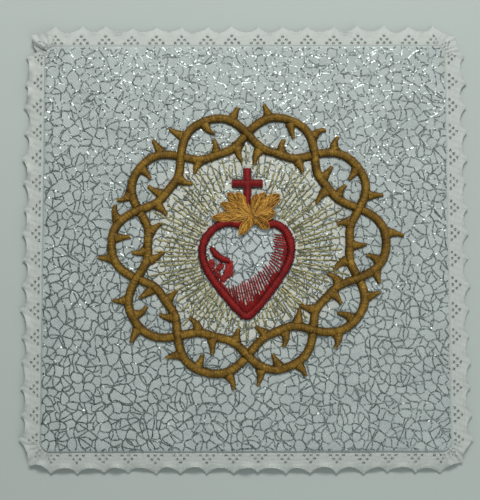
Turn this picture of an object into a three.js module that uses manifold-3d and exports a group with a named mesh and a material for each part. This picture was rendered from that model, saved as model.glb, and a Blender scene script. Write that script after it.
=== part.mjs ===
// Chalice pall: the small stiff square cloth that covers a chalice.
//
// One stiffened panel of silver-figured brocade, with a cotton lace edging held in its side seam, and a
// traditional emblem in raised satin stitch on its face: a crown of thorns round a heart with flames and
// a cross.
//
// Millimetres, +Z up. The pall lies face up. The origin is the middle of its underside, and +Y points to
// the top of the emblem.

import * as THREE from "three";
import { mergeVertices } from "three/addons/utils/BufferGeometryUtils.js";
import Module from "manifold-3d";

const wasm = await Module();
wasm.setup();

// Panel
const PANEL_SIDE = 160;
const PANEL_THICK = 3.6;
const CORNER_RADIUS = 4;
const CORNER_STEPS = 6;
const SLOT_LOW = 1.5; // underside of the slot in the panel's side that holds the lace

// The panel's side from the underside up, below and above the slot: inset from the outline, and height
const SIDE_BELOW_SLOT = [
  { inset: 2.0, z: 0 },
  { inset: 1.2, z: 0.2 },
  { inset: 0.9, z: 0.8 },
  { inset: 0.9, z: SLOT_LOW },
];
const SIDE_ABOVE_SLOT = [
  { inset: 0, z: 3.1 },
  { inset: 0.1, z: 3.3 },
  { inset: 0.4, z: 3.5 },
  { inset: 1.1, z: PANEL_THICK },
];
const SIDE_UNDER_FACE = 0.15; // inset of the slot's upper lip

// Gap between pieces that touch on the real thing
const GAP = 0.3;

// Lace edging, sewn into the seam. Its edge is a row of arches that meet in points.
const LACE_THICK = 0.8;
const LACE_TUCK = 2.2; // hidden heading, inside the seam
const LACE_LEAVES_AT = -0.4; // reach at which the lace starts to come down from the seam
const LACE_SAG_AT = 3.2; // reach at which the lace has come down from the seam
const LACE_SAG_Z = 1.3; // height of its underside there
const LACE_VALLEY = 6.1; // reach past the panel at the middle of an arch
const LACE_POINT = 8.7; // reach past the panel at a point
const REPEATS_PER_SIDE = 15;
const REPEATS_PER_CORNER = 2;
const COLUMNS_PER_REPEAT = 5;

// The free edge waves up and down. Its underside is this high on average, and arches rise above points.
const EDGE_Z = 1.1;
const ARCH_RISE = 0.7;
const EDGE_WAVES = [
  { perRound: 7, height: 0.28, start: 0.6 },
  { perRound: 23, height: 0.22, start: 2.1 },
];

// Emblem
const STITCH_BASE = PANEL_THICK + GAP;
const STITCH_HEIGHT = 1.0;

// Crown of thorns: two stems that weave over and under each other round an oval. A stem's distance from
// the oval follows c, its swing of -1 to 1: swing * c + swell * c * c - flatten * c * c * c.
const CROWN = {
  centre: new THREE.Vector2(0.8, 0.9),
  radiusX: 45.4,
  radiusY: 43.55,
  waves: 5, // swings in one turn
  swing: 10.0,
  swell: 0.9,
  flatten: 2.85,
  stemWidth: 3.1,
  overpass: 0.7, // extra height where one stem crosses over the other
  overpassReach: 3.6, // how far along the stem that extra height fades
  stepsPerArc: 9,
};

// Slow waves in the oval that make it look drawn by hand: waves in one turn, size, and the angle of a peak
const OVAL_WAVES = [
  { perTurn: 2, size: 0.87, peakAt: 76 },
  { perTurn: 3, size: 0.56, peakAt: -1 },
  { perTurn: 4, size: 0.41, peakAt: -24 },
];

// Which stem is the upper one at each crossing, anticlockwise from the top
const UPPER_STEM = [1, 1, 1, 0, 1, 0, 1, 0, 1, 0];

// Thorns, one on each of the ten arcs for every row. at: place along the arc in hundredths. lean: degrees
// off square to the stem, towards the arc's end. side: 1 grows away from the middle, -1 towards it.
const THORNS = [
  {
    arc: "outer",
    side: 1,
    at: [20, 18, 22, 22, 18, 16, 23, 18, 14, 15],
    lean: [-4, 28, -34, 8, -15, 21, -19, -25, 17, 14],
  },
  {
    arc: "outer",
    side: 1,
    at: [81, 80, 67, 57, 74, 59, 80, 63, 80, 73],
    lean: [-2, 25, -20, 20, 8, 7, 13, -24, 1, 9],
  },
  {
    arc: "outer",
    side: -1,
    at: [52, 48, 42, 40, 40, 40, 47, 25, 49, 48],
    lean: [-18, 9, -11, -4, -4, -18, -19, -5, -17, -29],
  },
  {
    arc: "inner",
    side: 1,
    at: [51, 61, 58, 51, 45, 60, 63, 48, 47, 42],
    lean: [-12, 10, 12, -9, 16, -23, -8, 4, -9, 16],
  },
  {
    arc: "inner",
    side: -1,
    at: [13, 24, 32, 22, 22, 32, 23, 23, 28, 20],
    lean: [36, 4, -37, -17, -30, -26, -6, -20, 8, -20],
  },
  {
    arc: "inner",
    side: -1,
    at: [77, 81, 77, 79, 81, 82, 79, 84, 68, 77],
    lean: [27, -16, -45, -25, -23, 3, -18, -32, 14, -10],
  },
];
const SWAPPED_ARCS = [3, 8]; // inner thorns grow to the other side on these arcs
const THORN_LENGTH = 6.6; // from the stem's middle line
const THORN_ROOT_WIDTH = 5.4; // under the stem, where it starts
const THORN_TIP_WIDTH = 1.25;
const THORN_FLARE = 1.5; // how fast a thorn narrows: 1 is straight
const THORN_HEIGHT = 0.85;
const THORN_SLOPE = 0.35; // share of its height that a thorn loses on the way to its tip
const THORN_BEND = -24; // degrees that a thorn curves on the way to its tip
const THORN_STEPS = 5;

// How much one thorn differs from the next. step and start set the order of the differences, and the
// lengths run lengthShift thorns behind the bends.
const UNEVEN = { bend: 44, length: 0.12, step: 2.4, start: 0.5, lengthShift: 7 };

// Heart: one column of satin. Its ends lie under the flames, so it is an open line.
const HEART_WIDTH = 3.0;
const HEART_STEPS = 84;
const HEART_LINE = [
  { x: -1.6, y: 8.4 },
  { x: -7.6, y: 9.1 },
  { x: -12.6, y: 6.7 },
  { x: -16.3, y: 1.8 },
  { x: -16.8, y: -4.4 },
  { x: -13.6, y: -11.8 },
  { x: -6.0, y: -21.6 },
  { x: -0.9, y: -27.0 },
  { x: 1.7, y: -27.0 },
  { x: 6.6, y: -21.8 },
  { x: 14.4, y: -11.2 },
  { x: 17.6, y: -4.4 },
  { x: 17.8, y: 1.4 },
  { x: 15.6, y: 6.2 },
  { x: 11.8, y: 8.6 },
  { x: 8.4, y: 8.3 },
];

// The wound: a short curved slit on the heart's left side. One row for each point of its line.
const WOUND = [
  { x: -13.6, y: -0.6, width: 1.2 },
  { x: -11.9, y: -2.9, width: 2.3 },
  { x: -9.2, y: -5.0, width: 2.3 },
  { x: -6.2, y: -5.8, width: 1.6 },
];
const WOUND_STEPS = 9;

// Cross. Its foot narrows to a point between the flames.
const CROSS = {
  x: 0.8,
  top: 30.5,
  foot: 13.4,
  footWidth: 0.8,
  taperFrom: 20.5,
  barY: 24.7,
  barWidth: 11.8,
  limb: 3.0,
};

// Flames: tongues from one root. One row for each tongue: where its tip is, its width, and the share of
// its length at which it is widest.
const FLAME_ROOT = new THREE.Vector2(2.8, 11.6);
const FLAME_ROOT_RADIUS = 3.6;
const FLAME_ROOT_SIDES = 16;
const FLAMES = [
  { tipX: -13.3, tipY: 11.1, width: 4.4, widest: 0.52 },
  { tipX: -9.7, tipY: 16.9, width: 3.8, widest: 0.6 },
  { tipX: -7.0, tipY: 20.9, width: 3.6, widest: 0.66 },
  { tipX: -3.6, tipY: 20.9, width: 3.8, widest: 0.66 },
  { tipX: 4.6, tipY: 20.4, width: 3.6, widest: 0.68 },
  { tipX: 7.8, tipY: 20.9, width: 4.2, widest: 0.7 },
  { tipX: 13.5, tipY: 20.2, width: 4.8, widest: 0.66 },
  { tipX: 11.6, tipY: 13.2, width: 5.4, widest: 0.62 },
  { tipX: 9.2, tipY: 7.0, width: 3.8, widest: 0.64 },
  { tipX: -2.3, tipY: 4.3, width: 3.8, widest: 0.5 },
];
const FLAME_BLUNT = 0.7; // how blunt a tongue's end is: 1 is a leaf, less is blunter
const FLAME_STEPS = 8;
const FLAME_HEIGHT = 1.2; // a little higher than the rest
const FLAME_ROOM = { below: 1, height: 5 }; // how far their room reaches below the stitches, and its height
const FLAME_ROOM_GROWS = 0.38; // wider than the gap, which comes out narrower where an outline slants

// Solids and booleans

// A closed geometry from rings of equally many points. With closed, the last ring joins the first;
// without, both ends are capped with a fan.
function skin(rings, closed) {
  const count = rings[0].length;
  const positions = rings.flat().flatMap((p) => [p.x, p.y, p.z]);
  const faces = [];
  const spans = closed ? rings.length : rings.length - 1;
  for (let i = 0; i < spans; i++) {
    const here = i * count;
    const next = ((i + 1) % rings.length) * count;
    for (let j = 0; j < count; j++) {
      const k = (j + 1) % count;
      faces.push(here + j, here + k, next + k, here + j, next + k, next + j);
    }
  }
  if (!closed) {
    const last = (rings.length - 1) * count;
    for (let j = 1; j < count - 1; j++) {
      faces.push(0, j + 1, j);
      faces.push(last, last + j, last + j + 1);
    }
  }
  const geometry = new THREE.BufferGeometry();
  geometry.setAttribute(
    "position",
    new THREE.Float32BufferAttribute(positions, 3),
  );
  geometry.setIndex(faces);
  return geometry;
}

function toSolid(geometry) {
  const bare = new THREE.BufferGeometry();
  bare.setAttribute("position", geometry.getAttribute("position"));
  bare.setIndex(geometry.getIndex());
  const merged = mergeVertices(bare, 1e-4);
  const solid = new wasm.Manifold(
    new wasm.Mesh({
      numProp: 3,
      vertProperties: merged.attributes.position.array,
      triVerts: new Uint32Array(merged.index.array),
    }),
  );
  return solid;
}

function toGeometry(solid) {
  const mesh = solid.getMesh();
  const geometry = new THREE.BufferGeometry();
  geometry.setAttribute(
    "position",
    new THREE.BufferAttribute(mesh.vertProperties, 3),
  );
  geometry.setIndex(new THREE.BufferAttribute(mesh.triVerts, 1));
  return geometry;
}

function union(solids) {
  return solids.reduce((sum, solid) => sum.add(solid));
}

// A flat outline made into a plate that starts at the given height.
function plate(points, base, height) {
  const geometry = new THREE.ExtrudeGeometry(new THREE.Shape(points), {
    depth: height,
    bevelEnabled: false,
    steps: 1,
  });
  geometry.translate(0, 0, base);
  return geometry;
}

// Panel and lace outlines

// Stations round the panel's outline, anticlockwise: a point on it, its outward normal, and how many
// lace repeats have gone by.
function outlineStations(stepsPerSide, stepsPerCorner) {
  const half = PANEL_SIDE / 2 - CORNER_RADIUS;
  const stations = [];
  for (let side = 0; side < 4; side++) {
    const normal = new THREE.Vector2(1, 0).rotateAround(
      new THREE.Vector2(),
      (side * Math.PI) / 2,
    );
    const along = new THREE.Vector2(-normal.y, normal.x);
    const repeatsBefore = side * (REPEATS_PER_SIDE + REPEATS_PER_CORNER);
    for (let i = 0; i < stepsPerSide; i++) {
      const place = -1 + (2 * i) / stepsPerSide;
      const point = normal
        .clone()
        .multiplyScalar(PANEL_SIDE / 2)
        .addScaledVector(along, place * half);
      const repeats = repeatsBefore + (i / stepsPerSide) * REPEATS_PER_SIDE;
      stations.push({ point, normal, repeats });
    }
    const cornerCentre = normal
      .clone()
      .add(along)
      .multiplyScalar(half);
    for (let i = 0; i < stepsPerCorner; i++) {
      const turned = normal
        .clone()
        .rotateAround(
          new THREE.Vector2(),
          ((i / stepsPerCorner) * Math.PI) / 2,
        );
      const point = cornerCentre
        .clone()
        .addScaledVector(turned, CORNER_RADIUS);
      const repeats =
        repeatsBefore +
        REPEATS_PER_SIDE +
        (i / stepsPerCorner) * REPEATS_PER_CORNER;
      stations.push({ point, normal: turned, repeats });
    }
  }
  return stations;
}

function offsetPoint(station, reach, z) {
  const p = station.point.clone().addScaledVector(station.normal, reach);
  return new THREE.Vector3(p.x, p.y, z);
}

// Panel: the face cloth rolls over the edge, and a slot in the side holds the lace's heading.
function panelGeometry() {
  const slotHigh = SLOT_LOW + LACE_THICK + 2 * GAP;
  const slotDeep = LACE_TUCK + GAP;
  const profile = [
    ...SIDE_BELOW_SLOT,
    { inset: slotDeep, z: SLOT_LOW },
    { inset: slotDeep, z: slotHigh },
    { inset: SIDE_UNDER_FACE, z: slotHigh },
    ...SIDE_ABOVE_SLOT,
  ];
  const stations = outlineStations(1, CORNER_STEPS);
  const rings = profile.map(({ inset, z }) =>
    stations.map((station) => offsetPoint(station, -inset, z)),
  );
  return skin(rings, false);
}

// Lace edging

// How far the lace reaches past the panel: most at a whole number of repeats, where two arches meet.
function laceReach(repeats) {
  const place = repeats - Math.floor(repeats);
  const fromMiddle = 1 - 2 * Math.min(place, 1 - place);
  return LACE_VALLEY + (LACE_POINT - LACE_VALLEY) * fromMiddle * fromMiddle;
}

// The height of the free edge's underside.
function edgeHeight(repeats) {
  const allRepeats = 4 * (REPEATS_PER_SIDE + REPEATS_PER_CORNER);
  const round = (2 * Math.PI * repeats) / allRepeats;
  const waves = EDGE_WAVES.map(
    ({ perRound, height, start }) => height * Math.sin(perRound * round + start),
  );
  const arch = 0.5 - 0.5 * Math.cos(2 * Math.PI * repeats);
  return waves.reduce((sum, wave) => sum + wave, EDGE_Z + ARCH_RISE * arch);
}

function laceGeometry() {
  const stations = outlineStations(
    REPEATS_PER_SIDE * COLUMNS_PER_REPEAT,
    REPEATS_PER_CORNER * COLUMNS_PER_REPEAT,
  );
  const rings = stations.map((station) => {
    const { repeats } = station;
    const rows = [
      { reach: -LACE_TUCK, z: SLOT_LOW + GAP },
      { reach: LACE_LEAVES_AT, z: SLOT_LOW + GAP },
      { reach: LACE_SAG_AT, z: LACE_SAG_Z },
      { reach: laceReach(repeats), z: edgeHeight(repeats) },
    ];
    const over = rows.map(({ reach, z }) =>
      offsetPoint(station, reach, z + LACE_THICK),
    );
    const under = rows
      .map(({ reach, z }) => offsetPoint(station, reach, z))
      .reverse();
    return [...over, ...under];
  });
  return skin(rings, true);
}

// Stitched columns

// A column of satin stitch seen end on: flat below, rounded above. Each point is a share of half the
// width and of the height.
const COLUMN_SECTION = [
  { across: -1, up: 0 },
  { across: -0.9, up: 0.5 },
  { across: -0.45, up: 0.95 },
  { across: 0.45, up: 0.95 },
  { across: 0.9, up: 0.5 },
  { across: 1, up: 0 },
];

// A column of satin stitch along stations of {point, along, width, height}. At a pointed end the width
// goes down to almost nothing.
function columnGeometry(stations, closed) {
  const rings = stations.map(({ point, along, width, height }) => {
    const right = new THREE.Vector2(along.y, -along.x);
    return COLUMN_SECTION.map(({ across, up }) => {
      const p = point.clone().addScaledVector(right, (across * width) / 2);
      return new THREE.Vector3(p.x, p.y, STITCH_BASE + up * height);
    });
  });
  return skin(rings, closed);
}

// The direction of travel at each of a closed or open run of points.
function directions(points, closed) {
  const last = points.length - 1;
  return points.map((_, i) => {
    const before = closed ? points.at(i - 1) : points[Math.max(i - 1, 0)];
    const after = closed
      ? points[(i + 1) % points.length]
      : points[Math.min(i + 1, last)];
    return after.clone().sub(before).normalize();
  });
}

// Crown of thorns

const CROSSINGS = 2 * CROWN.waves;
const TOP = Math.PI / 2; // the first crossing is at the top of the oval
const ARC_ANGLE = (2 * Math.PI) / CROSSINGS;

// The middle line of a stem. turn is 0 to 1 once round, anticlockwise from the top.
function stemPoint(stem, turn) {
  const angle = TOP + turn * 2 * Math.PI;
  const sign = stem === 0 ? 1 : -1;
  const c = sign * Math.cos(CROWN.waves * angle);
  const oval = OVAL_WAVES.reduce((sum, { perTurn, size, peakAt }) => {
    const phase = THREE.MathUtils.degToRad(peakAt);
    return sum + size * Math.cos(perTurn * angle - phase);
  }, 0);
  const out =
    oval + c * (CROWN.swing + c * (CROWN.swell - c * CROWN.flatten));
  return new THREE.Vector2(
    CROWN.centre.x + (CROWN.radiusX + out) * Math.cos(angle),
    CROWN.centre.y + (CROWN.radiusY + out) * Math.sin(angle),
  );
}

function stemDirection(stem, turn) {
  const step = 1e-3;
  return stemPoint(stem, turn + step)
    .sub(stemPoint(stem, turn - step))
    .normalize();
}

// Extra height of the stem where it is the upper one at a crossing.
function overpassLift(stem, turn, point) {
  const nearest = Math.round(turn * CROSSINGS);
  if (UPPER_STEM[nearest % CROSSINGS] !== stem) return 0;
  const crossing = stemPoint(stem, nearest / CROSSINGS);
  const far = point.distanceTo(crossing) / CROWN.overpassReach;
  return CROWN.overpass * Math.exp(-far * far);
}

function stemSolid(stem) {
  const count = CROSSINGS * CROWN.stepsPerArc;
  const stations = Array.from({ length: count }, (_, i) => {
    const turn = i / count;
    const point = stemPoint(stem, turn);
    return {
      point,
      along: stemDirection(stem, turn),
      width: CROWN.stemWidth,
      height: STITCH_HEIGHT + overpassLift(stem, turn, point),
    };
  });
  return toSolid(columnGeometry(stations, true));
}

// A number between -1 and 1 that looks irregular from one thorn to the next.
function uneven(index) {
  return Math.sin(index * UNEVEN.step + UNEVEN.start);
}

// The middle line of a curved spike, from its root. Angles are in degrees, anticlockwise from heading.
function spikePoints(root, heading, lean, bend, length) {
  const origin = new THREE.Vector2();
  const points = [root.clone()];
  for (let i = 0; i < THORN_STEPS; i++) {
    const bent = bend * ((i + 0.5) / THORN_STEPS - 0.5);
    const step = heading
      .clone()
      .rotateAround(origin, THREE.MathUtils.degToRad(lean + bent))
      .multiplyScalar(length / THORN_STEPS);
    points.push(points[i].clone().add(step));
  }
  return points;
}

// One thorn: a flared, curved spike with a blunt tip that grows from under its stem.
function thornSolid(row, arcIndex, index) {
  const turn = (arcIndex + row.at[arcIndex] / 100) / CROSSINGS;
  const middleAngle = TOP + (arcIndex + 0.5) * ARC_ANGLE;
  const stemOutside = Math.cos(CROWN.waves * middleAngle) > 0 ? 0 : 1;
  const isInner = row.arc === "inner";
  const stem = isInner ? 1 - stemOutside : stemOutside;
  const swapped = isInner && SWAPPED_ARCS.includes(arcIndex);
  const side = swapped ? -row.side : row.side;
  const along = stemDirection(stem, turn);
  const heading = new THREE.Vector2(along.y, -along.x).multiplyScalar(side);
  const points = spikePoints(
    stemPoint(stem, turn),
    heading,
    row.lean[arcIndex] * side,
    (THORN_BEND + UNEVEN.bend * uneven(index)) * side,
    THORN_LENGTH * (1 + UNEVEN.length * uneven(index + UNEVEN.lengthShift)),
  );
  const ways = directions(points, false);
  const stations = points.map((point, i) => {
    const share = i / THORN_STEPS;
    const flare = Math.pow(1 - share, THORN_FLARE);
    return {
      point,
      along: ways[i],
      width: THREE.MathUtils.lerp(THORN_TIP_WIDTH, THORN_ROOT_WIDTH, flare),
      height: THORN_HEIGHT * (1 - THORN_SLOPE * share),
    };
  });
  return toSolid(columnGeometry(stations, false));
}

function crownGeometry() {
  const solids = [stemSolid(0), stemSolid(1)];
  for (let arcIndex = 0; arcIndex < CROSSINGS; arcIndex++) {
    THORNS.forEach((row, i) => {
      solids.push(thornSolid(row, arcIndex, arcIndex * THORNS.length + i));
    });
  }
  return toGeometry(union(solids));
}

// Flames

// One tongue's outline, from the root to its tip.
function tongueOutline({ tipX, tipY, width, widest }, grow) {
  const tip = new THREE.Vector2(tipX, tipY);
  const along = tip.clone().sub(FLAME_ROOT).normalize();
  const side = new THREE.Vector2(-along.y, along.x);
  const start = FLAME_ROOT.clone().addScaledVector(along, -grow);
  const end = tip.clone().addScaledVector(along, grow);
  const warp = Math.log(0.5) / Math.log(widest);
  const edge = (sign) =>
    Array.from({ length: FLAME_STEPS - 1 }, (_, i) => {
      const share = (i + 1) / FLAME_STEPS;
      const leaf = Math.sin(Math.PI * Math.pow(share, warp));
      const swell = Math.pow(leaf, FLAME_BLUNT);
      return start
        .clone()
        .lerp(end, share)
        .addScaledVector(side, sign * ((width / 2) * swell + grow));
    });
  return [start, ...edge(-1), end, ...edge(1).reverse()];
}

function rootOutline(grow) {
  const circle = new THREE.EllipseCurve(
    FLAME_ROOT.x,
    FLAME_ROOT.y,
    FLAME_ROOT_RADIUS + grow,
    FLAME_ROOT_RADIUS + grow,
  );
  return circle.getPoints(FLAME_ROOT_SIDES).slice(1);
}

function flamesSolid(grow, base, height) {
  const outlines = FLAMES.map((row) => tongueOutline(row, grow));
  outlines.push(rootOutline(grow));
  return union(outlines.map((points) => toSolid(plate(points, base, height))));
}

// The space that the flames take, with the gap to their neighbours, from below to well above them.
function flamesRoom() {
  const base = STITCH_BASE - FLAME_ROOM.below;
  return flamesSolid(FLAME_ROOM_GROWS, base, FLAME_ROOM.height);
}

// Heart

function heartGeometry() {
  const curve = new THREE.SplineCurve(
    HEART_LINE.map(({ x, y }) => new THREE.Vector2(x, y)),
  );
  const points = curve.getSpacedPoints(HEART_STEPS);
  const ways = directions(points, false);
  const stations = points.map((point, i) => ({
    point,
    along: ways[i],
    width: HEART_WIDTH,
    height: STITCH_HEIGHT,
  }));
  const outline = toSolid(columnGeometry(stations, false));
  return toGeometry(outline.subtract(flamesRoom()));
}

function woundGeometry() {
  const curve = new THREE.SplineCurve(
    WOUND.map(({ x, y }) => new THREE.Vector2(x, y)),
  );
  const points = curve.getPoints(WOUND_STEPS);
  const ways = directions(points, false);
  const stations = points.map((point, i) => {
    const row = (i / WOUND_STEPS) * (WOUND.length - 1);
    const before = WOUND[Math.floor(row)];
    const after = WOUND[Math.ceil(row)];
    return {
      point,
      along: ways[i],
      width: THREE.MathUtils.lerp(before.width, after.width, row % 1),
      height: STITCH_HEIGHT,
    };
  });
  return columnGeometry(stations, false);
}

// Cross

function crossGeometry() {
  const { x, top, foot, footWidth, taperFrom, barY, barWidth, limb } = CROSS;
  const half = limb / 2;
  const right = [
    { out: half, y: top },
    { out: half, y: barY + half },
    { out: barWidth / 2, y: barY + half },
    { out: barWidth / 2, y: barY - half },
    { out: half, y: barY - half },
    { out: half, y: taperFrom },
    { out: footWidth / 2, y: foot },
  ];
  const left = right.map(({ out, y }) => ({ out: -out, y })).reverse();
  const points = [...right, ...left].map(
    ({ out, y }) => new THREE.Vector2(x + out, y),
  );
  const solid = toSolid(plate(points, STITCH_BASE, STITCH_HEIGHT));
  return toGeometry(solid.subtract(flamesRoom()));
}

// Assembly

const MATERIALS = {
  brocade: { color: 0xc9cfd0, roughness: 0.55, metalness: 0.15 },
  cotton: { color: 0xe9ebe6, roughness: 0.9, metalness: 0 },
  bronzeThread: { color: 0x8a5f14, roughness: 0.45, metalness: 0 },
  redThread: { color: 0x9b1420, roughness: 0.45, metalness: 0 },
  goldThread: { color: 0xc78a22, roughness: 0.42, metalness: 0 },
};

function addPiece(group, name, geometry, material) {
  geometry.computeVertexNormals();
  const mesh = new THREE.Mesh(
    geometry,
    new THREE.MeshStandardMaterial(MATERIALS[material]),
  );
  mesh.name = name;
  group.add(mesh);
}

const pall = new THREE.Group();
pall.name = "chalice_pall";
addPiece(pall, "panel", panelGeometry(), "brocade");
addPiece(pall, "lace_edging", laceGeometry(), "cotton");

const emblem = new THREE.Group();
emblem.name = "emblem";
addPiece(emblem, "crown_of_thorns", crownGeometry(), "bronzeThread");
addPiece(emblem, "heart", heartGeometry(), "redThread");
addPiece(emblem, "wound", woundGeometry(), "redThread");
addPiece(emblem, "cross", crossGeometry(), "redThread");
addPiece(
  emblem,
  "flames",
  toGeometry(flamesSolid(0, STITCH_BASE, FLAME_HEIGHT)),
  "goldThread",
);
pall.add(emblem);

export default pall;
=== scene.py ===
"""Chalice pall: finish of the brocade panel, lace edging and embroidered emblem.

Shapes are worked out in millimetres and made in metres. The pall lies face up, +Y to the emblem's top.
"""

import math

import bpy
import numpy as np
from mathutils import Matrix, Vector
from mathutils.geometry import delaunay_2d_cdt


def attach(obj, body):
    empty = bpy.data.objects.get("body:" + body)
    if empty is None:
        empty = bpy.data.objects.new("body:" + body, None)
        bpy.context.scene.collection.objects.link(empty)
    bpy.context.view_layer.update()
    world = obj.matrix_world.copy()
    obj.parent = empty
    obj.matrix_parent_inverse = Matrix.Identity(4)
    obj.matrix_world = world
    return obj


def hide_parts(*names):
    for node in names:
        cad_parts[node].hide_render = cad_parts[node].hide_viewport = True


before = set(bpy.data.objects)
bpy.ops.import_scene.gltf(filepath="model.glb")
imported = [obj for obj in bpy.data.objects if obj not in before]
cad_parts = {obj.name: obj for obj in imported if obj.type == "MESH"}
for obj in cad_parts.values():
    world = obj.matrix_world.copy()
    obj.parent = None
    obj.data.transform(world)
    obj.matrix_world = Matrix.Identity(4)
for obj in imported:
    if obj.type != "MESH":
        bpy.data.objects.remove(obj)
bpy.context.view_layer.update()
scene = bpy.context.scene

MM = 0.001
TURN = 2 * math.pi
RNG = np.random.default_rng(7)

# Panel, as in the part's source
PANEL_SIDE = 160.0
CORNER_RADIUS = 4.0

# Lace. Distances along it are in repeats, anticlockwise from the foot of the right side
REPEATS_PER_SIDE = 15
REPEATS_PER_CORNER = 2
REPEATS_PER_QUARTER = REPEATS_PER_SIDE + REPEATS_PER_CORNER
REPEATS = 4 * REPEATS_PER_QUARTER
REPEAT = (PANEL_SIDE - 2 * CORNER_RADIUS) / REPEATS_PER_SIDE
VALLEY = 6.1  # reach past the panel between two points
POINT = 8.7  # and at a point

# Emblem, as in the part's source
STITCH_BASE = 3.9
STITCH_HEIGHT = 1.0
CROWN_CENTRE = np.array([0.8, 0.9])
CROWN_RADII = np.array([45.4, 43.55])
CROWN_WAVES = 5
CROWN_SWING = 10.0
CROWN_SWELL = 0.9
CROWN_FLATTEN = 2.85
OVAL_WAVES = [(2, 0.87, 76), (3, 0.56, -1), (4, 0.41, -24)]  # waves in one turn, size, peak in degrees
UPPER_STEM = np.array([1, 1, 1, 0, 1, 0, 1, 0, 1, 0])
STEM_WIDTH = 3.1
OVERPASS = 0.7
OVERPASS_REACH = 3.6
HEART_LINE = [
    (-1.6, 8.4), (-7.6, 9.1), (-12.6, 6.7), (-16.3, 1.8), (-16.8, -4.4), (-13.6, -11.8),
    (-6.0, -21.6), (-0.9, -27.0), (1.7, -27.0), (6.6, -21.8), (14.4, -11.2), (17.6, -4.4),
    (17.8, 1.4), (15.6, 6.2), (11.8, 8.6), (8.4, 8.3),
]
HEART_WIDTH = 3.0
WOUND = [(-13.6, -0.6), (-11.9, -2.9), (-9.2, -5.0), (-6.2, -5.8)]
WOUND_WIDTHS = [1.4, 2.5, 2.5, 2.0]
CROSS_UPRIGHT = ((0.8, 30.5), (0.8, 13.8), 3.1)  # start, end, width
CROSS_BAR = ((-5.1, 24.7), (6.7, 24.7), 3.2)
FLAME_ROOT = np.array([2.8, 11.6])
FLAMES = [  # tip x, tip y, width, share of its length at which it is widest
    (-13.3, 11.1, 4.4, 0.52), (-9.7, 16.9, 3.8, 0.6), (-7.0, 20.9, 3.6, 0.66),
    (-3.6, 20.9, 3.8, 0.66), (4.6, 20.4, 3.6, 0.68), (7.8, 20.9, 4.2, 0.7),
    (13.5, 20.2, 4.8, 0.66), (11.6, 13.2, 5.4, 0.62), (9.2, 7.0, 3.8, 0.64), (-2.3, 4.3, 3.8, 0.5),
]
FLAME_BLUNT = 0.7
RAY_CENTRE = np.array([0.6, -4.0])
RAY_COUNT = 100


def in_scene(name, data):
    """An object with its data, in the scene."""
    item = bpy.data.objects.new(name, data)
    scene.collection.objects.link(item)
    return item


# Camera

CAMERA_PLACE = (-0.00187, -0.01526, 0.27658)  # in metres
CAMERA_TURN = (2.876, 0.062, -0.117)  # in degrees


def make_camera():
    """Straight above the face, a little below its middle."""
    data = bpy.data.cameras.new("camera")
    data.lens = 50
    data.sensor_width = 36
    data.clip_start = 0.01
    camera = in_scene("camera", data)
    camera.location = CAMERA_PLACE
    camera.rotation_euler = [math.radians(a) for a in CAMERA_TURN]
    scene.camera = camera


# Line and mesh helpers

def directions(angle):
    return np.stack([np.cos(angle), np.sin(angle)], axis=-1)


def rotated(vectors, cos, sin):
    x, y = vectors[..., 0], vectors[..., 1]
    return np.stack([x * cos - y * sin, x * sin + y * cos], axis=-1)


def with_height(flat, z):
    """Flat points of threads, with a height for each."""
    return np.concatenate([flat, z[:, :, None]], axis=2)


def distances_along(points):
    gaps = np.linalg.norm(np.diff(points, axis=0), axis=1)
    return np.concatenate([[0.0], np.cumsum(gaps)])


def distance_to(points, line, batch=200):
    nearest = np.full(len(points), np.inf)
    for start in range(0, len(line), batch):
        gap = points[:, None, :] - line[None, start : start + batch, :]
        nearest = np.minimum(nearest, (gap**2).sum(axis=2).min(axis=1))
    return np.sqrt(nearest)


def at_places(places, along, points):
    """Points at places along a run of points."""
    return np.stack([np.interp(places, along, column) for column in points.T], axis=1)


def resample(points, pitch):
    """Points at an even pitch along a run of points, their direction of travel and share of its length."""
    points = np.asarray(points, dtype=float)
    along = distances_along(points)
    count = max(int(round(along[-1] / pitch)), 2)
    places = np.linspace(0, along[-1], count + 1)
    even = at_places(places, along, points)
    ahead = np.gradient(even, axis=0)
    ahead /= np.linalg.norm(ahead, axis=1, keepdims=True)
    return even, ahead, places / along[-1]


def smooth_line(rows, steps=16):
    """A Catmull-Rom curve through a short table of points."""
    rows = np.asarray(rows, dtype=float)
    padded = np.vstack([2 * rows[0] - rows[1], rows, 2 * rows[-1] - rows[-2]])
    t = np.linspace(0, 1, steps, endpoint=False)[:, None]
    parts = []
    for i in range(len(rows) - 1):
        a, b, c, d = padded[i : i + 4]
        parts.append(
            0.5 * (2 * b + (c - a) * t + (2 * a - 5 * b + 4 * c - d) * t**2
                   + (3 * b - a - 3 * c + d) * t**3)
        )
    return np.vstack(parts + [rows[-1:]])


def heart_points(pitch):
    return resample(smooth_line(HEART_LINE), pitch)[0]


def mesh_piece(name, points, faces, material, smooth=True, tone=None, uv=None):
    """A mesh object from points in millimetres and blocks of faces."""
    mesh = bpy.data.meshes.new(name)
    corners = []
    for block in faces:
        corners.extend(block.tolist() if isinstance(block, np.ndarray) else block)
    mesh.from_pydata((np.asarray(points) * MM).tolist(), [], corners)
    if tone is not None:
        layer = mesh.attributes.new("tone", "FLOAT", "POINT")
        layer.data.foreach_set("value", np.asarray(tone, dtype=np.float32))
    if uv is not None:
        loops = np.empty(len(mesh.loops), dtype=np.int32)
        mesh.loops.foreach_get("vertex_index", loops)
        layer = mesh.uv_layers.new(name="LaceUV")
        layer.data.foreach_set("uv", uv[loops].astype(np.float32).ravel())
    mesh.polygons.foreach_set("use_smooth", [smooth] * len(mesh.polygons))
    mesh.materials.append(material)
    mesh.update()
    return in_scene(name, mesh)


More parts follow.
